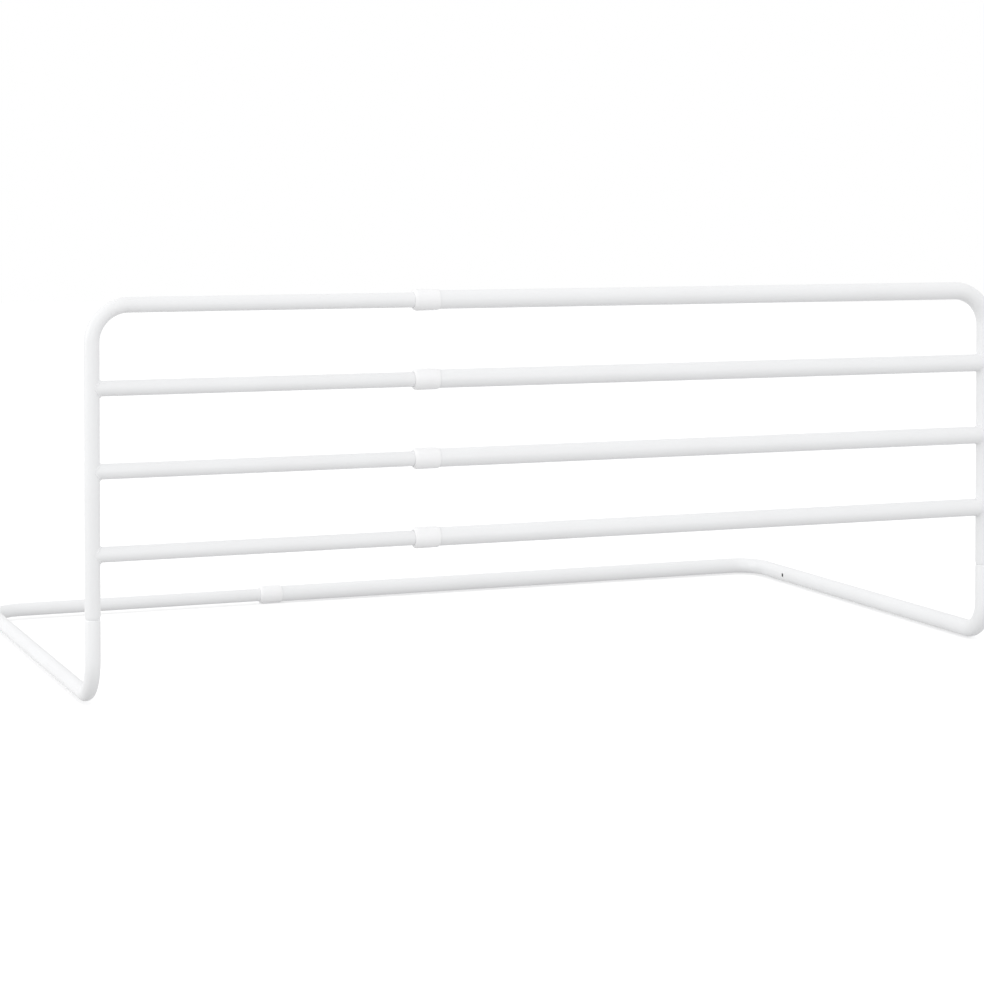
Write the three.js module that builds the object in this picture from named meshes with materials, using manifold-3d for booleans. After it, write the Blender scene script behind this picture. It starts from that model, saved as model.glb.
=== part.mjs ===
// A telescopic bed guard: two halves of white steel tube that slide into each other.
// Millimetres, +Z up. X runs along the bed and Y from the guard in under the mattress.
// The origin is the middle of the guard's outer box, on the surface that it stands on.
import * as THREE from "three";
import { mergeVertices } from "three/addons/utils/BufferGeometryUtils.js";
import Module from "manifold-3d";

const wasm = await Module();
wasm.setup();

// Tubes: the thin tubes of the left half run inside the thick tubes of the right half
const THIN_DIAMETER = 16;
const THIN_WALL = 1;
const THICK_WALL = 1;
const SLIDING_SPACE = 1;

// Lengths along X, from the axis of a post
const THIN_REACH = 700;
const THICK_REACH = 703;
const OVERLAP = 353;

// Heights above the axis of the legs, and the reach of the legs under the mattress
const LOWER_RAIL_RISE = 147;
const RAIL_PITCH = 84;
const THIN_SEAM_RISE = 82;
const THICK_SEAM_RISE = 80;
const LEG_REACH = 575;

// Centre-line radii of the bends
const THIN_TOP_BEND = 38;
const THIN_LEG_BEND = 42;
const THICK_TOP_BEND = 41;
const THICK_LEG_BEND = 36;

// Clearances: between fixed pieces, between sliding ones, and the open seam in each post
const FIT_GAP = 0.3;
const RUNNING_GAP = 0.3;
const SEAM_GAP = 0.3;

// Plastic collars on the open ends of the thick tubes
const COLLAR_LENGTH = 28;
const COLLAR_WALL = 1.2;
const COLLAR_LIP = 3;
const COLLAR_NOSE = 5;
const COLLAR_NOSE_DROP = 2.2;
const COLLAR_TAIL = 2;
const COLLAR_TAIL_DROP = 0.6;

// Plastic glides in the ends of the thin tubes
const GLIDE_HEAD = 8;
const GLIDE_SPIGOT = 16;
const GLIDE_CHAMFER = 0.8;
const GLIDE_VENT_DIAMETER = 6;

// Steel sleeves that plug the posts onto the legs
const PLUG_POST_REACH = 30;
const PLUG_STUB_SHARE = 0.75;
const PLUG_WALL = 1.5;
const PLUG_CHAMFER = 0.7;

// The small hole in the inner face of each leg, near the rear bend
const HOLE_DIAMETER = 5;
const HOLE_FROM_REAR_BAR = 103;

// Facets round a tube, and steps along a bend
const SIDES = 24;
const BEND_STEPS = 8;
const NOSE_STEPS = 4;

// The three middle rails, from the highest down
const RAIL_NAMES = ["upper", "middle", "lower"];

const thinRadius = THIN_DIAMETER / 2;
const thickBore = thinRadius + SLIDING_SPACE;
const thickRadius = thickBore + THICK_WALL;
const thin = {
  radius: thinRadius,
  bore: thinRadius - THIN_WALL,
  seamRise: THIN_SEAM_RISE,
  topBend: THIN_TOP_BEND,
  legBend: THIN_LEG_BEND,
};
const thick = {
  radius: thickRadius,
  bore: thickBore,
  seamRise: THICK_SEAM_RISE,
  topBend: THICK_TOP_BEND,
  legBend: THICK_LEG_BEND,
};
const collarRadius = thickRadius + FIT_GAP + COLLAR_WALL;

const topRise = LOWER_RAIL_RISE + RAIL_NAMES.length * RAIL_PITCH;
const postSpacing = THIN_REACH + THICK_REACH - OVERLAP;
const width = thinRadius + postSpacing + thickRadius;
const leftPost = thinRadius - width / 2;
const rightPost = width / 2 - thickRadius;
const thinEnd = leftPost + THIN_REACH;
const thickEnd = rightPost - THICK_REACH;
const frontPlane = -LEG_REACH / 2;
const rearPlane = LEG_REACH / 2;
const legHeight = collarRadius;
const topHeight = legHeight + topRise;

const whitePaint = { color: 0xf3f4f6, roughness: 0.42, metalness: 0 };
const whitePlastic = { color: 0xfafafa, roughness: 0.5, metalness: 0 };
const glidePlastic = { color: 0xe8e8e4, roughness: 0.6, metalness: 0 };
const zincSteel = { color: 0xa3a7ab, roughness: 0.35, metalness: 0.9 };

const guard = new THREE.Group();

// A path whose points and directions are given, so that only its bends are divided
class StationPath extends THREE.Curve {
  constructor(stations) {
    super();
    this.stations = stations;
  }

  stationAt(share) {
    return this.stations[Math.round(share * (this.stations.length - 1))];
  }

  getPoint(share) {
    return this.stationAt(share).point.clone();
  }

  getPointAt(share) {
    return this.getPoint(share);
  }

  getTangentAt(share) {
    return this.stationAt(share).direction.clone();
  }
}

// Straight runs from corner to corner, with each inner corner rounded at its own radius
function bentPath(corners, radii) {
  const stations = [];
  const firstRun = corners[1].clone().sub(corners[0]).normalize();
  stations.push({ point: corners[0], direction: firstRun });
  for (let i = 1; i < corners.length - 1; i += 1) {
    const into = corners[i].clone().sub(corners[i - 1]).normalize();
    const out = corners[i + 1].clone().sub(corners[i]).normalize();
    const radius = radii[i - 1];
    const centre = corners[i].clone().addScaledVector(into, -radius).addScaledVector(out, radius);
    for (let step = 0; step <= BEND_STEPS; step += 1) {
      const turn = (Math.PI / 2) * (step / BEND_STEPS);
      const point = centre
        .clone()
        .addScaledVector(out, -radius * Math.cos(turn))
        .addScaledVector(into, radius * Math.sin(turn));
      const direction = into
        .clone()
        .multiplyScalar(Math.cos(turn))
        .addScaledVector(out, Math.sin(turn));
      stations.push({ point, direction });
    }
  }
  const last = corners.length - 1;
  const lastRun = corners[last].clone().sub(corners[last - 1]).normalize();
  stations.push({ point: corners[last], direction: lastRun });
  return new StationPath(stations);
}

// Corner radius of a regular outline whose flats lie at the given radius
function cornerRadius(flatRadius) {
  return flatRadius / Math.cos(Math.PI / SIDES);
}

// A regular outline with flats facing along both of its axes
function roundOutline(OutlineType, flatRadius) {
  const outline = new OutlineType();
  const points = [];
  for (let side = 0; side < SIDES; side += 1) {
    const angle = (2 * Math.PI * (side + 0.5)) / SIDES;
    const reach = cornerRadius(flatRadius);
    points.push(new THREE.Vector2(reach * Math.cos(angle), reach * Math.sin(angle)));
  }
  outline.setFromPoints(points);
  return outline;
}

// A hollow tube along a path
function tubeAlong(path, tube) {
  const section = roundOutline(THREE.Shape, tube.radius);
  section.holes.push(roundOutline(THREE.Path, tube.bore));
  return new THREE.ExtrudeGeometry(section, {
    extrudePath: path,
    steps: path.stations.length - 1,
  });
}

// A turned piece along X: each profile point is a radius and a place along X
function turned(profile) {
  const points = profile.map(([radius, along]) => new THREE.Vector2(cornerRadius(radius), along));
  points.push(points[0].clone());
  const geometry = new THREE.LatheGeometry(points, SIDES, Math.PI / SIDES);
  geometry.rotateZ(-Math.PI / 2);
  return geometry;
}

// A solid rod about Z, used as a cutter
function rod(flatRadius, length) {
  const reach = cornerRadius(flatRadius);
  const geometry = new THREE.CylinderGeometry(
    reach, reach, length, SIDES, 1, false, Math.PI / SIDES,
  );
  geometry.rotateX(Math.PI / 2);
  return geometry;
}

// One piece cut by another
function cut(geometry, cutter) {
  const rest = asSolid(geometry).subtract(asSolid(cutter)).getMesh();
  const result = new THREE.BufferGeometry();
  result.setAttribute("position", new THREE.BufferAttribute(rest.vertProperties, rest.numProp));
  result.setIndex(new THREE.BufferAttribute(rest.triVerts, 1));
  return result;
}

// A closed mesh with shared corners, ready to be cut
function asSolid(geometry) {
  const bare = geometry.clone();
  bare.deleteAttribute("normal");
  bare.deleteAttribute("uv");
  const merged = mergeVertices(bare);
  return new wasm.Manifold(new wasm.Mesh({
    numProp: 3,
    vertProperties: merged.attributes.position.array,
    triVerts: Uint32Array.from(merged.index.array),
  }));
}

function addPiece(name, geometry, finish) {
  const mesh = new THREE.Mesh(geometry, new THREE.MeshStandardMaterial(finish));
  mesh.name = name;
  guard.add(mesh);
  return mesh;
}

// A post with the top rail: up from the seam, round the top bend and along to its open end
function frameTube(postX, endX, tube) {
  const corners = [
    new THREE.Vector3(postX, frontPlane, legHeight + tube.seamRise + SEAM_GAP / 2),
    new THREE.Vector3(postX, frontPlane, topHeight),
    new THREE.Vector3(endX, frontPlane, topHeight),
  ];
  return tubeAlong(bentPath(corners, [tube.topBend]), tube);
}

// A leg: down from the seam, back under the mattress and along the rear, with its small hole
function legTube(postX, endX, tube) {
  const corners = [
    new THREE.Vector3(postX, frontPlane, legHeight + tube.seamRise - SEAM_GAP / 2),
    new THREE.Vector3(postX, frontPlane, legHeight),
    new THREE.Vector3(postX, rearPlane, legHeight),
    new THREE.Vector3(endX, rearPlane, legHeight),
  ];
  const inward = Math.sign(endX - postX);
  const drill = rod(HOLE_DIAMETER / 2, tube.radius);
  drill.rotateY(Math.PI / 2);
  drill.translate(postX + inward * tube.radius, rearPlane - HOLE_FROM_REAR_BAR, legHeight);
  return cut(tubeAlong(bentPath(corners, [tube.legBend, tube.legBend]), tube), drill);
}

// A middle rail, its end hollowed out to sit against the round post
function railTube(postX, endX, height, tube) {
  const path = bentPath([
    new THREE.Vector3(postX, frontPlane, height),
    new THREE.Vector3(endX, frontPlane, height),
  ], []);
  const post = rod(tube.radius + FIT_GAP, RAIL_PITCH);
  post.translate(postX, frontPlane, height);
  return cut(tubeAlong(path, tube), post);
}

// The sleeve at a seam, seated in the stub of the leg and reaching up into the post
function legPlug(tube) {
  const outer = tube.bore - FIT_GAP;
  const inner = outer - PLUG_WALL;
  const low = -PLUG_STUB_SHARE * (tube.seamRise - tube.legBend);
  const high = PLUG_POST_REACH;
  const geometry = turned([
    [inner, low],
    [outer - PLUG_CHAMFER, low],
    [outer, low + PLUG_CHAMFER],
    [outer, high - PLUG_CHAMFER],
    [outer - PLUG_CHAMFER, high],
    [inner, high],
  ]);
  geometry.rotateY(-Math.PI / 2);
  return geometry;
}

// A collar: a lip that the thin tube runs through, and a sleeve over the thick tube's end
function collar() {
  const throat = thinRadius + RUNNING_GAP;
  const sleeve = thickRadius + FIT_GAP;
  const nose = [];
  for (let step = 0; step <= NOSE_STEPS; step += 1) {
    const turn = (Math.PI / 2) * (step / NOSE_STEPS);
    const drop = COLLAR_NOSE_DROP * (1 - Math.sin(turn));
    nose.push([collarRadius - drop, COLLAR_NOSE * (1 - Math.cos(turn))]);
  }
  return turned([
    [throat, 0],
    ...nose,
    [collarRadius, COLLAR_LENGTH - COLLAR_TAIL],
    [collarRadius - COLLAR_TAIL_DROP, COLLAR_LENGTH],
    [sleeve, COLLAR_LENGTH],
    [sleeve, COLLAR_LIP],
    [throat, COLLAR_LIP],
  ]);
}

// A glide: a spigot inside the thin tube's end, and a head that runs in the thick tube
function glide() {
  const head = thickBore - RUNNING_GAP;
  const spigot = thin.bore - FIT_GAP;
  const vent = GLIDE_VENT_DIAMETER / 2;
  return turned([
    [vent, -GLIDE_HEAD - GLIDE_SPIGOT],
    [spigot, -GLIDE_HEAD - GLIDE_SPIGOT],
    [spigot, -GLIDE_HEAD],
    [head, -GLIDE_HEAD],
    [head, -GLIDE_CHAMFER],
    [head - GLIDE_CHAMFER, 0],
    [vent, 0],
  ]);
}

const thinTubeEnd = thinEnd - GLIDE_HEAD - FIT_GAP;

addPiece("left_frame_tube", frameTube(leftPost, thinTubeEnd, thin), whitePaint);
addPiece("right_frame_tube", frameTube(rightPost, thickEnd, thick), whitePaint);
addPiece("left_leg_tube", legTube(leftPost, thinTubeEnd, thin), whitePaint);
addPiece("right_leg_tube", legTube(rightPost, thickEnd, thick), whitePaint);

for (const [side, postX, tube] of [["left", leftPost, thin], ["right", rightPost, thick]]) {
  const plug = addPiece(`${side}_leg_plug`, legPlug(tube), zincSteel);
  plug.position.set(postX, frontPlane, legHeight + tube.seamRise);
}

// The axes on which a thin tube slides in a thick one
const slideAxes = [{ name: "top", y: frontPlane, z: topHeight }];
RAIL_NAMES.forEach((name, row) => {
  const height = topHeight - (row + 1) * RAIL_PITCH;
  slideAxes.push({ name, y: frontPlane, z: height });
  addPiece(`left_${name}_rail`, railTube(leftPost, thinTubeEnd, height, thin), whitePaint);
  addPiece(`right_${name}_rail`, railTube(rightPost, thickEnd, height, thick), whitePaint);
});
slideAxes.push({ name: "rear", y: rearPlane, z: legHeight });

for (const axis of slideAxes) {
  const sleeve = addPiece(`${axis.name}_collar`, collar(), whitePlastic);
  sleeve.position.set(thickEnd - FIT_GAP - COLLAR_LIP, axis.y, axis.z);
  const guide = addPiece(`${axis.name}_glide`, glide(), glidePlastic);
  guide.position.set(thinEnd, axis.y, axis.z);
}

export default guard;
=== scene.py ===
# The looks of a telescopic bed guard of white steel tube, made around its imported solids.
# Metres, +Z up. X runs along the bed and +Y in under the mattress.
import math

import bmesh
import bpy
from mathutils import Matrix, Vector


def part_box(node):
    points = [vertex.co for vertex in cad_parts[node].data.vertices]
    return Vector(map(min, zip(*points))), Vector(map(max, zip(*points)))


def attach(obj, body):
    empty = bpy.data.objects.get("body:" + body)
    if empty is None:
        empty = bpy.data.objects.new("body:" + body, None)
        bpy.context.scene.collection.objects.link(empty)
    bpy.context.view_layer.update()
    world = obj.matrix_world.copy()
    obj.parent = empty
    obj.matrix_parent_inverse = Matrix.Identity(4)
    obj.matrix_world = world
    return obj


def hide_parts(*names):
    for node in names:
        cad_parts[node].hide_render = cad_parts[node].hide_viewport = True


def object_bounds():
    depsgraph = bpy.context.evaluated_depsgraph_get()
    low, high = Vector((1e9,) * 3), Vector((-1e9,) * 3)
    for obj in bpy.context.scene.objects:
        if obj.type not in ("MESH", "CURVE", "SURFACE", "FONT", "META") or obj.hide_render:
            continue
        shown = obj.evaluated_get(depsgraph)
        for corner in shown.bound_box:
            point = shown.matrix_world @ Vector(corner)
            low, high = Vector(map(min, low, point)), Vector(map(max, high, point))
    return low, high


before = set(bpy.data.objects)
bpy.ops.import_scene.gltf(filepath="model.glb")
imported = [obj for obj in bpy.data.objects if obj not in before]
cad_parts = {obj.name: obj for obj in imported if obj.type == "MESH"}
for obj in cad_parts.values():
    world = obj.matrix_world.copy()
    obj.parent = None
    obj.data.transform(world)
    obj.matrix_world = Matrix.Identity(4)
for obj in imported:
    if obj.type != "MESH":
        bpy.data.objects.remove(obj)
cad_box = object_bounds()


# The white finish: polyester powder, sprayed on the welded steel halves and baked.
# It gives the eye a clean, barely cool white with an even satin gloss, and a faint orange peel
# where a highlight crosses it. The collars leave hair-fine marks along the thin tubes.
MM = 0.001
COAT_WHITE = "#F2F3F4"
COAT_THIN_WHITE = "#EFEFF0"
COAT_IOR = 1.5
COAT_ROUGHNESS = 0.4
COAT_ROUGHNESS_SWING = 0.05
COAT_DRIFT_SIZE = 70 * MM
ORANGE_PEEL_SIZE = 1.8 * MM
ORANGE_PEEL_DEPTH = 0.012 * MM
# Real rub marks are about 0.1 mm wide, too fine to show, so they are drawn wider
RUB_MARK_LENGTH = 45 * MM
RUB_MARK_WIDTH = 0.7 * MM
RUB_MARK_GLOSS = 0.12
# The values of their noise at which the marks start and are full
RUB_MARK_START = 0.55
RUB_MARK_FULL = 0.75
# Most values of a noise lie between these two
NOISE_LOW = 0.3
NOISE_HIGH = 0.7


def linear(colour):
    """An sRGB hex colour as the linear colour that a node takes."""
    shares = [int(colour[i:i + 2], 16) / 255 for i in (1, 3, 5)]
    return [s / 12.92 if s <= 0.04045 else ((s + 0.055) / 1.055) ** 2.4 for s in shares] + [1]


def add(tree, kind, inputs=(), **settings):
    """A new node with its settings. Its inputs, by name or in order, are values, sockets or nodes."""
    node = tree.nodes.new(kind)
    for name, value in settings.items():
        setattr(node, name, value)
    open_inputs = [socket for socket in node.inputs if socket.enabled]
    if isinstance(inputs, dict):
        pairs = [(next(s for s in open_inputs if s.name == name), v) for name, v in inputs.items()]
    else:
        pairs = zip(open_inputs, inputs)
    for socket, value in pairs:
        if isinstance(value, bpy.types.Node):
            value = next(s for s in value.outputs if s.enabled)
        if isinstance(value, bpy.types.NodeSocket):
            tree.links.new(value, socket)
        else:
            socket.default_value = value
    return node


def new_material(name):
    """An empty material, its node tree and the coordinates that its patterns follow."""
    material = bpy.data.materials.new(name)
    material.use_nodes = True
    tree = material.node_tree
    tree.nodes.clear()
    return material, tree, add(tree, "ShaderNodeTexCoord").outputs["Object"]


def powder_coat(name, rub_gloss):
    """The white coat, with marks along X that shine by the given share more."""
    material, tree, place = new_material(name)
    drift = add(tree, "ShaderNodeTexNoise", {"Vector": place, "Scale": 1 / COAT_DRIFT_SIZE, "Detail": 2})
    colour = add(
        tree, "ShaderNodeMix",
        {"Factor": drift, "A": linear(COAT_WHITE), "B": linear(COAT_THIN_WHITE)},
        data_type="RGBA",
    )
    along = add(
        tree, "ShaderNodeMapping",
        {"Vector": place, "Scale": (RUB_MARK_WIDTH / RUB_MARK_LENGTH, 1, 1)},
    )
    marks = add(tree, "ShaderNodeTexNoise", {"Vector": along, "Scale": 1 / RUB_MARK_WIDTH, "Detail": 3})
    mark_gloss = add(tree, "ShaderNodeMapRange", [marks, RUB_MARK_START, RUB_MARK_FULL, 0, -rub_gloss])
    base_gloss = add(tree, "ShaderNodeMapRange", [
        drift, NOISE_LOW, NOISE_HIGH,
        COAT_ROUGHNESS - COAT_ROUGHNESS_SWING, COAT_ROUGHNESS + COAT_ROUGHNESS_SWING,
    ])
    gloss = add(tree, "ShaderNodeMath", [base_gloss, mark_gloss], operation="ADD")
    peel = add(tree, "ShaderNodeTexNoise", {"Vector": place, "Scale": 1 / ORANGE_PEEL_SIZE, "Detail": 1})
    surface = add(
        tree, "ShaderNodeBump",
        {"Strength": 1, "Distance": ORANGE_PEEL_DEPTH, "Height": peel},
    )
    shader = add(
        tree, "ShaderNodeBsdfPrincipled",
        {"Base Color": colour, "Roughness": gloss, "IOR": COAT_IOR, "Normal": surface},
    )
    add(tree, "ShaderNodeOutputMaterial", [shader])
    return material


white_coat = powder_coat("white_powder_coated_steel", 0)
rubbed_coat = powder_coat("white_powder_coated_steel_rubbed", RUB_MARK_GLOSS)


# The bore of every tube: drawn steel that the spray doesn't reach.
# The bath before the coating leaves it a matte light grey, with fine draw lines along the tube.
# It shows only through the small holes in the legs, and at the open ends when the halves are apart.
BORE_GREY = "#CFCFD0"
BORE_LINE_GREY = "#B4B4B6"
BORE_METAL_SHARE = 0.2
BORE_ROUGHNESS = 0.7
# Real draw lines are finer, and are drawn as coarse as they need to be to show
DRAW_LINE_LENGTH = 30 * MM
DRAW_LINE_WIDTH = 0.5 * MM


def phosphated_steel():
    """Dull, light grey steel with fine darker lines along X."""
    material, tree, place = new_material("phosphated_steel_bore")
    along = add(
        tree, "ShaderNodeMapping",
        {"Vector": place, "Scale": (DRAW_LINE_WIDTH / DRAW_LINE_LENGTH, 1, 1)},
    )
    lines = add(tree, "ShaderNodeTexNoise", {"Vector": along, "Scale": 1 / DRAW_LINE_WIDTH, "Detail": 4})
    colour = add(
        tree, "ShaderNodeMix",
        {"Factor": lines, "A": linear(BORE_GREY), "B": linear(BORE_LINE_GREY)},
        data_type="RGBA",
    )
    shader = add(
        tree, "ShaderNodeBsdfPrincipled",
        {"Base Color": colour, "Metallic": BORE_METAL_SHARE, "Roughness": BORE_ROUGHNESS},
    )
    add(tree, "ShaderNodeOutputMaterial", [shader])
    return material


bore_steel = phosphated_steel()


# The four bent tubes: on each half a post with its top rail, and a leg with the rear bar.
# Each is one length of welded steel tube, 16 mm across on the left half and 20 mm on the right,
# drawn round a former at its bends and powder coated. Its cut ends are drawn in a little,
# so that a soft groove shows where a post stands on the stub of its leg.
TUBE_WALL = 1 * MM
TUBE_SIDES = 64
THIN_TOP_BEND = 38 * MM
THIN_LEG_BEND = 42 * MM
THICK_TOP_BEND = 41 * MM
THICK_LEG_BEND = 36 * MM
BEND_STEPS = 24
STRAIGHT_COSINE = 0.999
POST_RIM = 3.4 * MM
LEG_RIM = 1.8 * MM
SEAM_SLIT = 0.05 * MM
RIM_WALL_SHARE = 0.85
RIM_FULLNESS = 1.3
RIM_STEPS = 8
SADDLE_MARGIN = 2 * MM
MERGE_DISTANCE = 0.001 * MM
SHARP_ANGLE = math.radians(40)


def middle(node):
    """The middle of a CAD node's box."""
    low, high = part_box(node)
    return (low + high) / 2


def tube_radius(node):
    """The outer radius of a tube that stays in one plane."""
    low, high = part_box(node)
    return (high.y - low.y) / 2


class Half:
    """One half of the guard: its tube, the axis of its post and the ends of its tubes."""

    def __init__(self, side, inward, top_bend, leg_bend, coat):
        self.side = side
        self.inward = inward
        self.body = side + "_half"
        self.coat = coat
        self.top_bend = top_bend
        self.leg_bend = leg_bend
        self.radius = tube_radius(side + "_frame_tube")
        low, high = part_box(side + "_frame_tube")
        self.post_x = low.x + self.radius if inward > 0 else high.x - self.radius
        self.end_x = high.x if inward > 0 else low.x
        seam = (low.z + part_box(side + "_leg_tube")[1].z) / 2
        self.seam_top = seam + SEAM_SLIT / 2
        self.seam_bottom = seam - SEAM_SLIT / 2


left = Half("left", 1, THIN_TOP_BEND, THIN_LEG_BEND, rubbed_coat)
right = Half("right", -1, THICK_TOP_BEND, THICK_LEG_BEND, white_coat)
halves = (left, right)
front_y = middle("top_collar").y
rear_y = middle("rear_collar").y
top_z = middle("top_collar").z
leg_z = middle("rear_collar").z


def cut_end(tip, inward, rim):
    """Close points from a cut end inwards, where its rim is rounded."""
    turns = [math.pi / 2 * step / RIM_STEPS for step in range(RIM_STEPS + 1)]
    return [tip + inward * rim * (1 - math.cos(turn)) for turn in turns]


def bent_line(corners, bend, rim):
    """A tube's centre line: straight runs between the corners, and an arc at each real corner."""
    points = cut_end(corners[0], (corners[1] - corners[0]).normalized(), rim)
    for before, corner, after in zip(corners, corners[1:], corners[2:]):
        into = (corner - before).normalized()
        out = (after - corner).normalized()
        if into.dot(out) > STRAIGHT_COSINE:
            points.append(corner)
            continue
        centre = corner - into * bend + out * bend
        for step in range(BEND_STEPS + 1):
            turn = math.pi / 2 * step / BEND_STEPS
            points.append(centre - out * bend * math.cos(turn) + into * bend * math.sin(turn))
    points += reversed(cut_end(corners[-1], (corners[-2] - corners[-1]).normalized(), rim))
    return points


def shape_tree(name, kinds):
    """A Geometry Nodes tree with named inputs of these kinds, and the sockets they come in by."""
    tree = bpy.data.node_groups.new(name, "GeometryNodeTree")
    tree.interface.new_socket("Geometry", in_out="OUTPUT", socket_type="NodeSocketGeometry")
    tree.interface.new_socket("Geometry", in_out="INPUT", socket_type="NodeSocketGeometry")
    for label, kind in kinds.items():
        tree.interface.new_socket(label, in_out="INPUT", socket_type="NodeSocket" + kind)
    return tree, add(tree, "NodeGroupInput").outputs


def tube_tree():
    """Sweeps a wall along a line of points, rounds both cut rims and saddles one end to a post."""
    tree, given = shape_tree("tube_wall_along_a_line", {
        "Outer radius": "Float",
        "Bore radius": "Float",
        "Rim": "Float",
        "Post": "Vector",
        "Post side": "Float",
        "Coat": "Material",
        "Bore finish": "Material",
    })
    line = add(tree, "GeometryNodeMeshToCurve", [given["Geometry"]])
    length = add(tree, "GeometryNodeSplineParameter").outputs["Length"]
    whole = add(tree, "GeometryNodeSplineLength").outputs["Length"]
    to_far_end = add(tree, "ShaderNodeMath", [whole, length], operation="SUBTRACT")
    to_end = add(tree, "ShaderNodeMath", [length, to_far_end], operation="MINIMUM")
    share = add(tree, "ShaderNodeMath", [to_end, given["Rim"]], operation="DIVIDE", use_clamp=True)
    short = add(tree, "ShaderNodeMath", [1.0, share], operation="SUBTRACT")
    raised = add(tree, "ShaderNodeMath", [short, RIM_FULLNESS], operation="POWER")
    rest = add(tree, "ShaderNodeMath", [1.0, raised], operation="SUBTRACT")
    height = add(tree, "ShaderNodeMath", [rest, 1 / RIM_FULLNESS], operation="POWER")
    drop = add(tree, "ShaderNodeMath", [1.0, height], operation="SUBTRACT")
    rim_radius = add(
        tree, "ShaderNodeMix",
        {"Factor": RIM_WALL_SHARE, "A": given["Outer radius"], "B": given["Bore radius"]},
    )
    circle = add(tree, "GeometryNodeCurvePrimitiveCircle", {"Resolution": TUBE_SIDES, "Radius": 1.0})
    walls = []
    for label in ("Outer radius", "Bore radius"):
        radius = add(tree, "ShaderNodeMix", {"Factor": drop, "A": given[label], "B": rim_radius})
        walls.append(add(tree, "GeometryNodeCurveToMesh", [line, circle, radius]))
    turned_round = add(tree, "GeometryNodeFlipFaces", [walls[1]])
    inner = add(tree, "GeometryNodeCaptureAttribute", [turned_round], domain="FACE")
    inner.capture_items.new("BOOLEAN", "Inside")
    inner.inputs["Inside"].default_value = True
    both = add(tree, "GeometryNodeJoinGeometry", [inner])
    tree.links.new(walls[0].outputs["Mesh"], both.inputs["Geometry"])
    closed = add(tree, "GeometryNodeMergeByDistance", {"Geometry": both, "Distance": MERGE_DISTANCE})

    position = add(tree, "GeometryNodeInputPosition")
    from_post = add(tree, "ShaderNodeVectorMath", [position, given["Post"]], operation="SUBTRACT")
    away = add(tree, "ShaderNodeSeparateXYZ", [from_post])
    reach = add(tree, "ShaderNodeMath", [away.outputs["X"]], operation="ABSOLUTE")
    at_post = add(tree, "ShaderNodeMath", [reach, SADDLE_MARGIN], operation="LESS_THAN")
    post_square = add(tree, "ShaderNodeMath", [given["Outer radius"], 2.0], operation="POWER")
    y_square = add(tree, "ShaderNodeMath", [away.outputs["Y"], away.outputs["Y"]], operation="MULTIPLY")
    left_over = add(tree, "ShaderNodeMath", [post_square, y_square], operation="SUBTRACT")
    positive = add(tree, "ShaderNodeMath", [left_over, 0.0], operation="MAXIMUM")
    saddle = add(tree, "ShaderNodeMath", [positive], operation="SQRT")
    shift = add(tree, "ShaderNodeMath", [saddle, given["Post side"]], operation="MULTIPLY")
    offset = add(tree, "ShaderNodeCombineXYZ", {"X": shift})
    seated = add(
        tree, "GeometryNodeSetPosition",
        {"Geometry": closed, "Selection": at_post, "Offset": offset},
    )
    real = add(tree, "GeometryNodeRealizeInstances", [seated])
    coated = add(tree, "GeometryNodeSetMaterial", {"Geometry": real, "Material": given["Coat"]})
    bored = add(
        tree, "GeometryNodeSetMaterial",
        {"Geometry": coated, "Selection": inner.outputs["Inside"], "Material": given["Bore finish"]},
    )
    add(tree, "NodeGroupOutput", [bored])
    return tree


def plain_mesh(carrier):
    """The carrier's mesh with all its modifiers run, smooth but for its sharp edges."""
    view = bpy.context.evaluated_depsgraph_get()
    mesh = bpy.data.meshes.new_from_object(carrier.evaluated_get(view))
    mesh.shade_smooth()
    mesh.set_sharp_from_angle(angle=SHARP_ANGLE)
    carrier.modifiers.clear()
    return mesh


def grow(name, points, joined, tree, values):
    """A piece that a tree makes from points, joined in a line or loose, with these input values."""
    edges = [(i, i + 1) for i in range(len(points) - 1)] if joined else []
    seed = bpy.data.meshes.new(name)
    seed.from_pydata(points, edges, [])
    piece = bpy.data.objects.new(name, seed)
    bpy.context.scene.collection.objects.link(piece)
    modifier = piece.modifiers.new("shape", "NODES")
    modifier.node_group = tree
    for item in tree.interface.items_tree:
        if item.in_out == "INPUT" and item.name in values:
            modifier[item.identifier] = values[item.name]
    piece.data = plain_mesh(piece)
    return piece


def settle(piece, body, slot, *nodes):
    """Puts a finished piece on its body and in place of its CAD nodes. The slot is not used."""
    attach(piece, body)
    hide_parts(*nodes)


wall_of_tube = tube_tree()


def tube_values(half, rim):
    """The sizes and finishes of a half's tube, by the names of the tree's inputs."""
    return {
        "Outer radius": half.radius,
        "Bore radius": half.radius - TUBE_WALL,
        "Rim": rim,
        "Coat": half.coat,
        "Bore finish": bore_steel,
    }


for half in halves:
    corners = [
        Vector((half.post_x, front_y, half.seam_top)),
        Vector((half.post_x, front_y, top_z)),
        Vector((half.end_x, front_y, top_z)),
    ]
    line = bent_line(corners, half.top_bend, POST_RIM)
    post = grow(half.side + "_post_and_top_rail", line, True, wall_of_tube, tube_values(half, POST_RIM))
    settle(post, half.body, "white_powder_coat", half.side + "_frame_tube")


# The small round hole in the inner face of each leg, near its rear bend.
# It is drilled before coating, and probably lets the wash water drain.
# The powder rounds its edge over and leaves the bore behind it dark.
HOLE_RADIUS = 2.5 * MM
HOLE_FROM_REAR_BAR = 103 * MM
# Close rings of the leg's mesh, this many on each side of the hole, keep the cut clean
HOLE_MESH_REACH = 6
HOLE_MESH_STEP = 1 * MM
HOLE_SIDES = 48
# Each ring of the drill, in mm: how far it stands out from the hole's radius, and how deep it is
DRILL_RINGS = [
    (0.55, -2.0),
    (0.55, -0.06),
    (0.30, 0.02),
    (0.12, 0.12),
    (0.03, 0.28),
    (0, 0.50),
    (0, 2.5),
]


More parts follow.
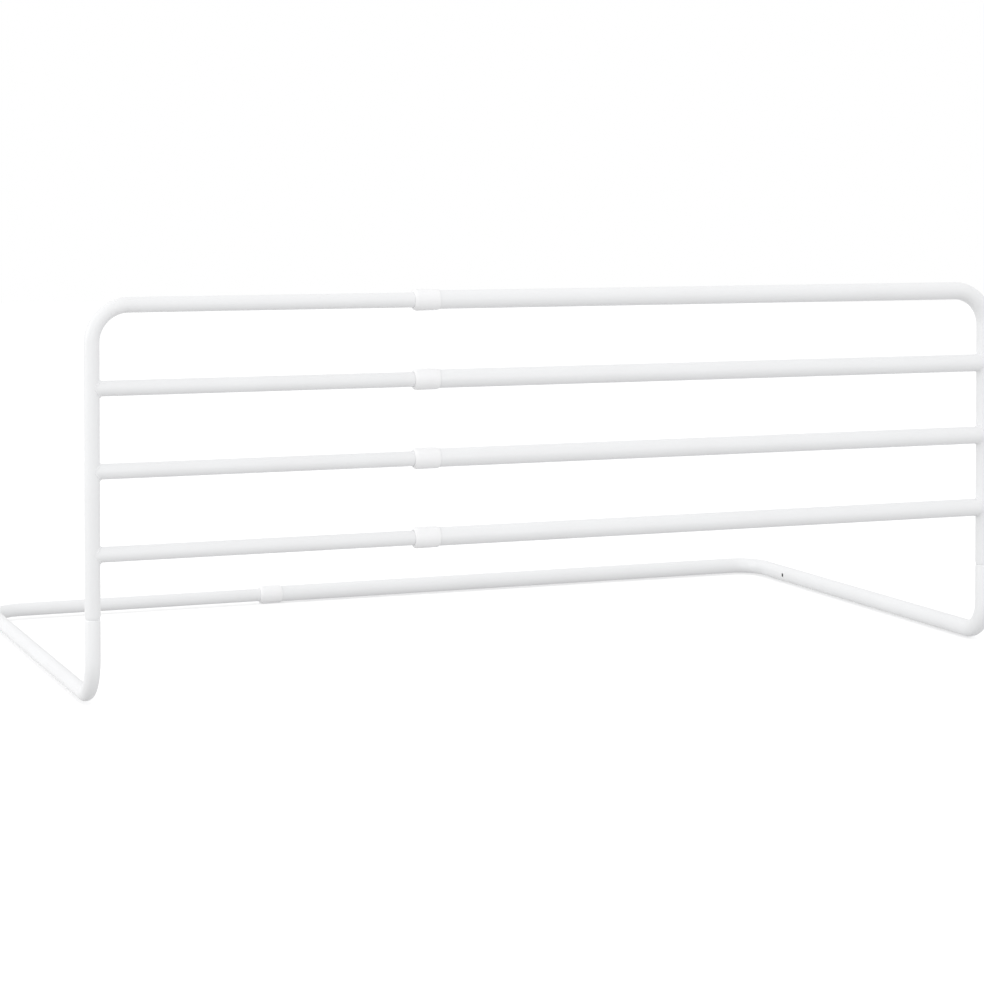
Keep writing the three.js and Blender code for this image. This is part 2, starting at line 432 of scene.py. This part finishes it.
def drill(half, hole_y):
    """A closed cutter whose flared rings follow the round of the leg."""
    mesh = bmesh.new()
    rings = []
    for spread, depth in DRILL_RINGS:
        ring = []
        for step in range(HOLE_SIDES):
            turn = 2 * math.pi * step / HOLE_SIDES
            rise = (HOLE_RADIUS + spread * MM) * math.sin(turn)
            along = (HOLE_RADIUS + spread * MM) * math.cos(turn)
            face = math.sqrt(half.radius ** 2 - rise ** 2)
            x = half.post_x + half.inward * (face - depth * MM)
            ring.append(mesh.verts.new((x, hole_y + along, leg_z + rise)))
        rings.append(ring)
    for outer, inner in zip(rings, rings[1:]):
        for i in range(HOLE_SIDES):
            j = (i + 1) % HOLE_SIDES
            mesh.faces.new((outer[i], outer[j], inner[j], inner[i]))
    mesh.faces.new(rings[0])
    mesh.faces.new(rings[-1])
    bmesh.ops.recalc_face_normals(mesh, faces=mesh.faces)
    cutter = bpy.data.meshes.new("drill")
    mesh.to_mesh(cutter)
    mesh.free()
    cutter.materials.append(half.coat)
    return bpy.data.objects.new("drill", cutter)


for half in halves:
    hole_y = rear_y - HOLE_FROM_REAR_BAR
    corners = [
        Vector((half.post_x, front_y, half.seam_bottom)),
        Vector((half.post_x, front_y, leg_z)),
        *[
            Vector((half.post_x, hole_y + step * HOLE_MESH_STEP, leg_z))
            for step in range(-HOLE_MESH_REACH, HOLE_MESH_REACH + 1)
        ],
        Vector((half.post_x, rear_y, leg_z)),
        Vector((half.end_x, rear_y, leg_z)),
    ]
    line = bent_line(corners, half.leg_bend, LEG_RIM)
    leg = grow(half.side + "_leg_and_rear_bar", line, True, wall_of_tube, tube_values(half, LEG_RIM))
    cutter = drill(half, hole_y)
    bpy.context.scene.collection.objects.link(cutter)
    cut = leg.modifiers.new("hole", "BOOLEAN")
    cut.object = cutter
    cut.operation = "DIFFERENCE"
    cut.solver = "EXACT"
    cut.material_mode = "TRANSFER"
    leg.data = plain_mesh(leg)
    bpy.data.objects.remove(cutter)
    settle(leg, half.body, "white_powder_coat", half.side + "_leg_tube")


# The three middle rails of each half, of the same tube as its post.
# One end is saddled to the round of the post and welded there. The other end is open,
# and the thin rail slides in the thick one.
RAIL_NAMES = ("upper", "middle", "lower")
RAIL_RIM = 0.6 * MM

for half in halves:
    for name in RAIL_NAMES:
        node = half.side + "_" + name + "_rail"
        height = middle(node).z
        start = Vector((half.post_x, front_y, height))
        past_post = start + Vector((half.inward * (half.radius + SADDLE_MARGIN), 0, 0))
        end = Vector((half.end_x, front_y, height))
        values = tube_values(half, RAIL_RIM)
        values["Post"] = start
        values["Post side"] = half.inward
        line = bent_line([start, past_post, end], 0, RAIL_RIM)
        rail = grow(node + "_tube", line, True, wall_of_tube, values)
        settle(rail, half.body, "white_powder_coat", node)


# The welds that hold the middle rails: one small bead round each saddle, six in all.
# They are arc welded by a machine before coating, so their ripples are even and white,
# full in the corners above and below the rail and nearly flush at its front and back.
BEAD_RADIUS = 1.5 * MM
BEAD_FLUSH_SHARE = 0.2
BEAD_TURN = 1.4 * MM
RIPPLE_PITCH = 1.3 * MM
RIPPLE_SHARE = 0.1
UNEVEN_SHARE = 0.25
UNEVEN_SIZE = 5 * MM
STEPS_PER_RIPPLE = 6
BEAD_SIDES = 12


def weld_tree():
    """A rippled bead round a rail's saddle, on each of the given points."""
    tree, given = shape_tree("weld_beads_on_points", {
        "Tube radius": "Float",
        "Rail side": "Float",
        "Ripples": "Int",
        "Coat": "Material",
    })
    steps = add(tree, "ShaderNodeMath", [given["Ripples"], STEPS_PER_RIPPLE], operation="MULTIPLY")
    ring = add(tree, "GeometryNodeCurvePrimitiveCircle", {"Resolution": steps, "Radius": 1.0})
    index = add(tree, "GeometryNodeInputIndex")
    share = add(tree, "ShaderNodeMath", [index, steps], operation="DIVIDE")
    angle = add(tree, "ShaderNodeMath", [share, 2 * math.pi], operation="MULTIPLY")
    sine = add(tree, "ShaderNodeMath", [angle], operation="SINE")
    cosine = add(tree, "ShaderNodeMath", [angle], operation="COSINE")
    y = add(tree, "ShaderNodeMath", [given["Tube radius"], sine], operation="MULTIPLY")
    z = add(tree, "ShaderNodeMath", [given["Tube radius"], cosine], operation="MULTIPLY")
    z_square = add(tree, "ShaderNodeMath", [z, z], operation="MULTIPLY")
    square = add(tree, "ShaderNodeMath", [z_square, BEAD_TURN ** 2], operation="ADD")
    reach = add(tree, "ShaderNodeMath", [square], operation="SQRT")
    x = add(tree, "ShaderNodeMath", [reach, given["Rail side"]], operation="MULTIPLY")
    saddle = add(tree, "ShaderNodeCombineXYZ", [x, y, z])
    line = add(tree, "GeometryNodeSetPosition", {"Geometry": ring, "Position": saddle})
    corner = add(tree, "ShaderNodeMath", [cosine], operation="ABSOLUTE")
    fullness = add(tree, "ShaderNodeMapRange", [corner, 0, 1, BEAD_FLUSH_SHARE, 1])
    ripple_angle = add(tree, "ShaderNodeMath", [angle, given["Ripples"]], operation="MULTIPLY")
    ripple_wave = add(tree, "ShaderNodeMath", [ripple_angle], operation="SINE")
    ripple = add(tree, "ShaderNodeMapRange", [ripple_wave, -1, 1, 1 - RIPPLE_SHARE, 1])
    position = add(tree, "GeometryNodeInputPosition")
    noise = add(tree, "ShaderNodeTexNoise", {"Vector": position, "Scale": 1 / UNEVEN_SIZE, "Detail": 1})
    uneven = add(tree, "ShaderNodeMapRange", [noise, NOISE_LOW, NOISE_HIGH, 1 - UNEVEN_SHARE, 1])
    radius = add(tree, "ShaderNodeMath", [fullness, BEAD_RADIUS], operation="MULTIPLY")
    rippled = add(tree, "ShaderNodeMath", [radius, ripple], operation="MULTIPLY")
    natural = add(tree, "ShaderNodeMath", [rippled, uneven], operation="MULTIPLY")
    section = add(tree, "GeometryNodeCurvePrimitiveCircle", {"Resolution": BEAD_SIDES, "Radius": 1.0})
    bead = add(tree, "GeometryNodeCurveToMesh", [line, section, natural])
    beads = add(tree, "GeometryNodeInstanceOnPoints", {"Points": given["Geometry"], "Instance": bead})
    real = add(tree, "GeometryNodeRealizeInstances", [beads])
    coated = add(tree, "GeometryNodeSetMaterial", {"Geometry": real, "Material": given["Coat"]})
    add(tree, "NodeGroupOutput", [coated])
    return tree


weld_beads = weld_tree()
for half in halves:
    centres = [
        Vector((half.post_x, front_y, middle(half.side + "_" + name + "_rail").z)) for name in RAIL_NAMES
    ]
    values = {
        "Tube radius": half.radius,
        "Rail side": half.inward,
        "Ripples": round(2 * math.pi * half.radius / RIPPLE_PITCH),
        "Coat": half.coat,
    }
    welds = grow(half.side + "_rail_welds", centres, False, weld_beads, values)
    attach(welds, half.body)


# The steel sleeves that plug the posts onto the legs, one at each seam.
# Each is a short length of zinc-plated tube, pressed in the stub of the leg and free in the post.
# They stay inside the tubes, and show only when the guard is taken apart.
PLUG_WALL = 1.5 * MM
PLUG_EDGE = 0.6 * MM
TURNED_SIDES = 96
CORNER_STEPS = 6
ZINC_BLUE = "#A9AFB6"
ZINC_DULL = "#8C9196"
ZINC_SPANGLE = 3 * MM
ZINC_BRIGHT_ROUGHNESS = 0.25
ZINC_DULL_ROUGHNESS = 0.42


def zinc_plate():
    """Bright zinc on steel: cool, a little cloudy, and less rough where it was pressed."""
    material, tree, place = new_material("zinc_plated_steel")
    cloud = add(tree, "ShaderNodeTexNoise", {"Vector": place, "Scale": 1 / ZINC_SPANGLE, "Detail": 3})
    colour = add(
        tree, "ShaderNodeMix",
        {"Factor": cloud, "A": linear(ZINC_BLUE), "B": linear(ZINC_DULL)},
        data_type="RGBA",
    )
    gloss = add(tree, "ShaderNodeMapRange", [
        cloud, NOISE_LOW, NOISE_HIGH, ZINC_BRIGHT_ROUGHNESS, ZINC_DULL_ROUGHNESS,
    ])
    shader = add(
        tree, "ShaderNodeBsdfPrincipled",
        {"Base Color": colour, "Metallic": 1, "Roughness": gloss},
    )
    add(tree, "ShaderNodeOutputMaterial", [shader])
    return material


def rounded(corners):
    """A closed outline of (along, radius, edge) corners, each rounded to an arc of its edge radius."""
    outline = []
    for i, (along, radius, edge) in enumerate(corners):
        corner = Vector((along, radius))
        if edge == 0:
            outline.append(corner)
            continue
        before = Vector(corners[i - 1][:2])
        after = Vector(corners[(i + 1) % len(corners)][:2])
        into = (corner - before).normalized()
        out = (after - corner).normalized()
        half_turn = into.angle(out) / 2
        reach = edge * math.tan(half_turn)
        start = corner - into * reach
        centre_way = (out - into).normalized()
        centre = corner + centre_way * (edge / math.cos(half_turn))
        sweep = (start - centre).angle_signed(corner + out * reach - centre)
        for step in range(CORNER_STEPS + 1):
            turn = -sweep * step / CORNER_STEPS
            arm = start - centre
            outline.append(centre + Vector((
                arm.x * math.cos(turn) - arm.y * math.sin(turn),
                arm.x * math.sin(turn) + arm.y * math.cos(turn),
            )))
    return outline


def turned(name, corners, finish, ridge=0):
    """A closed ring turned about X from its outline, with two fine mould lines if it has a ridge."""
    outline = rounded(corners)
    mean = sum(point.y for point in outline) / len(outline)
    mesh = bmesh.new()
    rings = []
    for side in range(TURNED_SIDES):
        turn = 2 * math.pi * side / TURNED_SIDES
        proud = ridge if side % (TURNED_SIDES // 2) == 0 else 0
        ring = []
        for point in outline:
            radius = point.y + (proud if point.y > mean else 0)
            ring.append(mesh.verts.new((point.x, radius * math.cos(turn), radius * math.sin(turn))))
        rings.append(ring)
    for i, ring in enumerate(rings):
        following = rings[(i + 1) % TURNED_SIDES]
        for j in range(len(outline)):
            k = (j + 1) % len(outline)
            mesh.faces.new((ring[j], ring[k], following[k], following[j]))
    bmesh.ops.recalc_face_normals(mesh, faces=mesh.faces)
    data = bpy.data.meshes.new(name)
    mesh.to_mesh(data)
    mesh.free()
    data.materials.append(finish)
    return bpy.data.objects.new(name, data)


zinc = zinc_plate()
for half in halves:
    node = half.side + "_leg_plug"
    low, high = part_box(node)
    outer = (high.y - low.y) / 2
    plug = turned(node + "_sleeve", [
        (low.z, outer - PLUG_WALL, PLUG_EDGE / 2),
        (low.z, outer, PLUG_EDGE),
        (high.z, outer, PLUG_EDGE),
        (high.z, outer - PLUG_WALL, PLUG_EDGE / 2),
    ], zinc)
    for vertex in plug.data.vertices:
        along, across, up = vertex.co
        vertex.co = (half.post_x + up, front_y + across, along)
    # Two axes were exchanged to stand it up, which turned its faces inwards
    plug.data.flip_normals()
    bpy.context.scene.collection.objects.link(plug)
    plug.data = plain_mesh(plug)
    settle(plug, half.body, "zinc_steel", node)


# The five collars on the open ends of the thick tubes, in which the thin tubes slide.
# Each is one injection-moulded sleeve of white polypropylene with a rounded nose and a lip.
# They are pressed on. They look a little whiter and softer than the coat, with a fine mould line.
COLLAR_LIP = 3 * MM
COLLAR_NOSE = 5 * MM
COLLAR_NOSE_DROP = 2.2 * MM
COLLAR_NOSE_STEPS = 12
COLLAR_DRAFT = 0.2 * MM
COLLAR_TAIL = 2 * MM
COLLAR_TAIL_DROP = 0.7 * MM
THROAT_FIT = 0.12 * MM
SLEEVE_FIT = 0.3 * MM
MOULD_LINE = 0.05 * MM
# Radii of its rounded edges, from the mouth round the tail and back to the lip
COLLAR_MOUTH_EDGE = 0.15 * MM
COLLAR_TAIL_ROUND = 3 * MM
COLLAR_TAIL_EDGE = 0.25 * MM
SLEEVE_EDGE = 0.1 * MM
LIP_CORNER = 0.2 * MM
LIP_EDGE = 0.3 * MM
COLLAR_WHITE = "#F9F9FA"
COLLAR_SHADE = "#F6F6F7"
COLLAR_ROUGHNESS = 0.45
# The grain of a real mould is finer, and is drawn as coarse as it needs to be to show
MOULD_GRAIN = 0.6 * MM
MOULD_GRAIN_DEPTH = 0.004 * MM
PLASTIC_IOR = 1.49
PLASTIC_CLOUD_SIZE = 20 * MM
PLASTIC_ROUGHNESS_SWING = 0.04
PLASTIC_GLOW_SHARE = 0.15
PLASTIC_GLOW_DEPTH = 0.6 * MM
# Red, green and blue light go equally deep into a white plastic
PLASTIC_GLOW_SPREAD = (1, 1, 1)
COLLAR_SEED = 3


def moulded_plastic(name, light, shade, roughness, grain, depth):
    """A moulded plastic: even colour, a soft sheen, a fine spark-eroded grain, light in its edges."""
    material, tree, place = new_material(name)
    cloud = add(tree, "ShaderNodeTexNoise", {"Vector": place, "Scale": 1 / PLASTIC_CLOUD_SIZE, "Detail": 2})
    colour = add(
        tree, "ShaderNodeMix",
        {"Factor": cloud, "A": linear(light), "B": linear(shade)},
        data_type="RGBA",
    )
    speck = add(tree, "ShaderNodeTexNoise", {"Vector": place, "Scale": 1 / grain, "Detail": 2})
    surface = add(tree, "ShaderNodeBump", {"Strength": 1, "Distance": depth, "Height": speck})
    gloss = add(tree, "ShaderNodeMapRange", [
        cloud, NOISE_LOW, NOISE_HIGH,
        roughness - PLASTIC_ROUGHNESS_SWING, roughness + PLASTIC_ROUGHNESS_SWING,
    ])
    shader = add(tree, "ShaderNodeBsdfPrincipled", {
        "Base Color": colour,
        "Roughness": gloss,
        "IOR": PLASTIC_IOR,
        "Normal": surface,
        "Subsurface Weight": PLASTIC_GLOW_SHARE,
        "Subsurface Radius": PLASTIC_GLOW_SPREAD,
        "Subsurface Scale": PLASTIC_GLOW_DEPTH,
    })
    add(tree, "ShaderNodeOutputMaterial", [shader])
    return material


def pressed_on_tree():
    """One turned piece on each of the given points, each turned by chance about its own axis."""
    tree, given = shape_tree("turned_piece_on_points", {
        "Piece": "Object",
        "Seed": "Int",
        "Finish": "Material",
    })
    shape = add(tree, "GeometryNodeObjectInfo", {"Object": given["Piece"]}).outputs["Geometry"]
    chance = add(
        tree, "FunctionNodeRandomValue",
        {"Min": 0.0, "Max": 2 * math.pi, "Seed": given["Seed"]},
        data_type="FLOAT",
    )
    turn = add(tree, "ShaderNodeCombineXYZ", {"X": chance})
    copies = add(
        tree, "GeometryNodeInstanceOnPoints",
        {"Points": given["Geometry"], "Instance": shape, "Rotation": turn},
    )
    real = add(tree, "GeometryNodeRealizeInstances", [copies])
    finished = add(tree, "GeometryNodeSetMaterial", {"Geometry": real, "Material": given["Finish"]})
    add(tree, "NodeGroupOutput", [finished])
    return tree


def left_end(node):
    """The left end of a CAD node that lies along X, on its axis."""
    return Vector((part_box(node)[0].x, middle(node).y, middle(node).z))


pressed_on = pressed_on_tree()
AXIS_NAMES = ("top", *RAIL_NAMES, "rear")
collar_nodes = [name + "_collar" for name in AXIS_NAMES]
low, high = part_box("top_collar")
collar_radius = (high.y - low.y) / 2
collar_length = high.x - low.x
throat = left.radius + THROAT_FIT
sleeve = right.radius + SLEEVE_FIT
shoulder = collar_radius - MOULD_LINE
nose = []
for step in range(COLLAR_NOSE_STEPS + 1):
    turn = math.pi / 2 * step / COLLAR_NOSE_STEPS
    nose.append((
        COLLAR_NOSE * (1 - math.cos(turn)),
        shoulder - COLLAR_NOSE_DROP * (1 - math.sin(turn)),
        0,
    ))
white_plastic = moulded_plastic(
    "white_moulded_polypropylene", COLLAR_WHITE, COLLAR_SHADE,
    COLLAR_ROUGHNESS, MOULD_GRAIN, MOULD_GRAIN_DEPTH,
)
collar = turned("collar_master", [
    (0, throat, COLLAR_MOUTH_EDGE),
    *nose,
    (collar_length - COLLAR_TAIL, shoulder - COLLAR_DRAFT, COLLAR_TAIL_ROUND),
    (collar_length, shoulder - COLLAR_TAIL_DROP, COLLAR_TAIL_EDGE),
    (collar_length, sleeve, SLEEVE_EDGE),
    (COLLAR_LIP, sleeve, LIP_CORNER),
    (COLLAR_LIP, throat, LIP_EDGE),
], white_plastic, MOULD_LINE)
noses = [left_end(node) for node in collar_nodes]
collars = grow("sliding_collars", noses, False, pressed_on, {
    "Piece": collar,
    "Seed": COLLAR_SEED,
    "Finish": white_plastic,
})
settle(collars, right.body, "white_plastic", *collar_nodes)


# The five glides in the ends of the thin tubes, which keep them centred in the thick ones.
# Each is moulded in natural acetal: a flanged head that runs in the bore, and a ribbed spigot.
# They stay inside the tubes, so they show only when the guard is taken apart.
GLIDE_HEAD = 8 * MM
GLIDE_VENT = 3 * MM
SPIGOT_ROOT = 0.5 * MM
FIRST_RIB = 2 * MM
RIB_PITCH = 4 * MM
RIB_COUNT = 3
RIB_STEP = 0.2 * MM
RIB_EDGE = 0.1 * MM
RIB_ROOT_EDGE = 0.05 * MM
# Radii of its rounded edges, from the vent's tail round the ribs and the head
VENT_TAIL_EDGE = 0.2 * MM
SPIGOT_EDGE = 0.4 * MM
HEAD_CORNER = 0.2 * MM
HEAD_BACK_EDGE = 0.4 * MM
HEAD_FRONT_EDGE = 0.8 * MM
VENT_FRONT_EDGE = 0.3 * MM
# Natural acetal is a milky, slightly yellow white, smoother and waxier than the collars
GLIDE_WHITE = "#E9E8E1"
GLIDE_SHADE = "#DEDDD4"
GLIDE_ROUGHNESS = 0.35
GLIDE_GRAIN = 0.8 * MM
GLIDE_GRAIN_DEPTH = 0.003 * MM
GLIDE_SEED = 5

glide_plastic = moulded_plastic(
    "natural_moulded_acetal", GLIDE_WHITE, GLIDE_SHADE,
    GLIDE_ROUGHNESS, GLIDE_GRAIN, GLIDE_GRAIN_DEPTH,
)
glide_nodes = [name + "_glide" for name in AXIS_NAMES]
low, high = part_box("top_glide")
glide_length = high.x - low.x
head_radius = (high.y - low.y) / 2
spigot_radius = left.radius - TUBE_WALL - SLEEVE_FIT
ribs = []
for rib in range(RIB_COUNT):
    foot = FIRST_RIB + rib * RIB_PITCH
    crest = foot + RIB_PITCH / 2
    ribs += [
        (foot, spigot_radius - SPIGOT_ROOT, RIB_EDGE),
        (crest, spigot_radius, RIB_EDGE),
        (crest + RIB_STEP, spigot_radius - SPIGOT_ROOT, RIB_ROOT_EDGE),
    ]
glide = turned("glide_master", [
    (0, GLIDE_VENT, VENT_TAIL_EDGE),
    (0, spigot_radius - SPIGOT_ROOT, SPIGOT_EDGE),
    *ribs,
    (glide_length - GLIDE_HEAD, spigot_radius - SPIGOT_ROOT, HEAD_CORNER),
    (glide_length - GLIDE_HEAD, head_radius, HEAD_BACK_EDGE),
    (glide_length, head_radius, HEAD_FRONT_EDGE),
    (glide_length, GLIDE_VENT, VENT_FRONT_EDGE),
], glide_plastic)
tails = [left_end(node) for node in glide_nodes]
glides = grow("tube_end_glides", tails, False, pressed_on, {
    "Piece": glide,
    "Seed": GLIDE_SEED,
    "Finish": glide_plastic,
})
settle(glides, left.body, "glide_plastic", *glide_nodes)


# The studio: an even white tent round a light table, with three weak softboxes that shape the tubes.
# What the camera sees of table and tent is plain white, with the guard's soft shadow on it.
# The glow that the table sends up is weaker, so that the undersides of the tubes read.
TABLE_RADIUS = 9.0
TABLE_SIDES = 96
TABLE_SEEN = "#F4F4F4"
TABLE_SEEN_GLOW = 0.3
TABLE_FELT = "#616161"
TABLE_FELT_GLOW = 0.44
TENT_LIGHT = 0.9
TENT_SEEN = 1.0
PLAIN_WHITE = (1, 1, 1, 1)
LAMP_AIM = Vector((0, 0, 0.2))
LAMP_DISTANCE = 7.0
LAMP_SIZE = 3.6
# Each softbox: the way it stands from the guard, in degrees from the front to the right and up,
# and its power in watts
SOFTBOXES = {
    "front_softbox": (-22, 13, 74),
    "left_softbox": (-100, 13, 102),
    "right_softbox": (15, 13, 25),
}


def seen_by_eye(tree):
    """1 for a ray that the camera sends, or that a shiny or clear surface sends on."""
    path = add(tree, "ShaderNodeLightPath").outputs
    mirrored = add(
        tree, "ShaderNodeMath",
        [path["Is Glossy Ray"], path["Is Transmission Ray"]],
        operation="MAXIMUM",
    )
    return add(tree, "ShaderNodeMath", [path["Is Camera Ray"], mirrored], operation="MAXIMUM")


def table_top():
    """A white surface to the eye, and a darker, glowing one to the guard that stands on it."""
    material, tree, _ = new_material("light_table_top")
    seen = add(tree, "ShaderNodeBsdfDiffuse", {"Color": linear(TABLE_SEEN)})
    seen_glow = add(tree, "ShaderNodeEmission", {"Color": PLAIN_WHITE, "Strength": TABLE_SEEN_GLOW})
    felt = add(tree, "ShaderNodeBsdfDiffuse", {"Color": linear(TABLE_FELT)})
    felt_glow = add(tree, "ShaderNodeEmission", {"Color": PLAIN_WHITE, "Strength": TABLE_FELT_GLOW})
    to_eye = add(tree, "ShaderNodeAddShader", [seen, seen_glow])
    to_guard = add(tree, "ShaderNodeAddShader", [felt, felt_glow])
    mixed = add(tree, "ShaderNodeMixShader", [seen_by_eye(tree), to_guard, to_eye])
    add(tree, "ShaderNodeOutputMaterial", [mixed])
    return material


ring = [2 * math.pi * side / TABLE_SIDES for side in range(TABLE_SIDES)]
table_mesh = bpy.data.meshes.new("light_table")
table_mesh.from_pydata(
    [(TABLE_RADIUS * math.cos(turn), TABLE_RADIUS * math.sin(turn), cad_box[0].z) for turn in ring],
    [],
    [tuple(range(TABLE_SIDES))],
)
table_mesh.materials.append(table_top())
table = bpy.data.objects.new("light_table", table_mesh)
bpy.context.scene.collection.objects.link(table)

tent = bpy.data.worlds.new("white_tent")
tent.use_nodes = True
tent.node_tree.nodes.clear()
tent_felt = add(tent.node_tree, "ShaderNodeBackground", {"Color": PLAIN_WHITE, "Strength": TENT_LIGHT})
tent_seen = add(tent.node_tree, "ShaderNodeBackground", {"Color": PLAIN_WHITE, "Strength": TENT_SEEN})
tent_wall = add(tent.node_tree, "ShaderNodeMixShader", [seen_by_eye(tent.node_tree), tent_felt, tent_seen])
add(tent.node_tree, "ShaderNodeOutputWorld", [tent_wall])
bpy.context.scene.world = tent

for name, (azimuth, elevation, power) in SOFTBOXES.items():
    lamp_data = bpy.data.lights.new(name, "AREA")
    lamp_data.shape = "SQUARE"
    lamp_data.size = LAMP_SIZE
    lamp_data.energy = power
    lamp = bpy.data.objects.new(name, lamp_data)
    turn = math.radians(azimuth)
    rise = math.radians(elevation)
    way = Vector((math.sin(turn) * math.cos(rise), -math.cos(turn) * math.cos(rise), math.sin(rise)))
    lamp.location = LAMP_AIM + way * LAMP_DISTANCE
    lamp.rotation_euler = (-way).to_track_quat("-Z", "Y").to_euler()
    bpy.context.scene.collection.objects.link(lamp)
bpy.context.scene.view_settings.view_transform = "Standard"


# The camera: a long lens half a metre above the table, left of the guard and turned to the right.
# The lens is shifted down, with hardly any tilt, so that the posts stay upright in the picture.
CAMERA_PLACE = (-1.0819, -2.7693, 0.5247)
CAMERA_TURN = 0.3794
CAMERA_TILT = 0.0256
LENS = 91.46
SENSOR = 36
LENS_SHIFT = -0.24

camera_data = bpy.data.cameras.new("product_camera")
camera_data.lens = LENS
camera_data.sensor_width = SENSOR
camera_data.shift_y = LENS_SHIFT
camera = bpy.data.objects.new("product_camera", camera_data)
camera.location = CAMERA_PLACE
camera.rotation_euler = (math.pi / 2 - CAMERA_TILT, 0, -CAMERA_TURN)
bpy.context.scene.collection.objects.link(camera)
bpy.context.scene.camera = camera
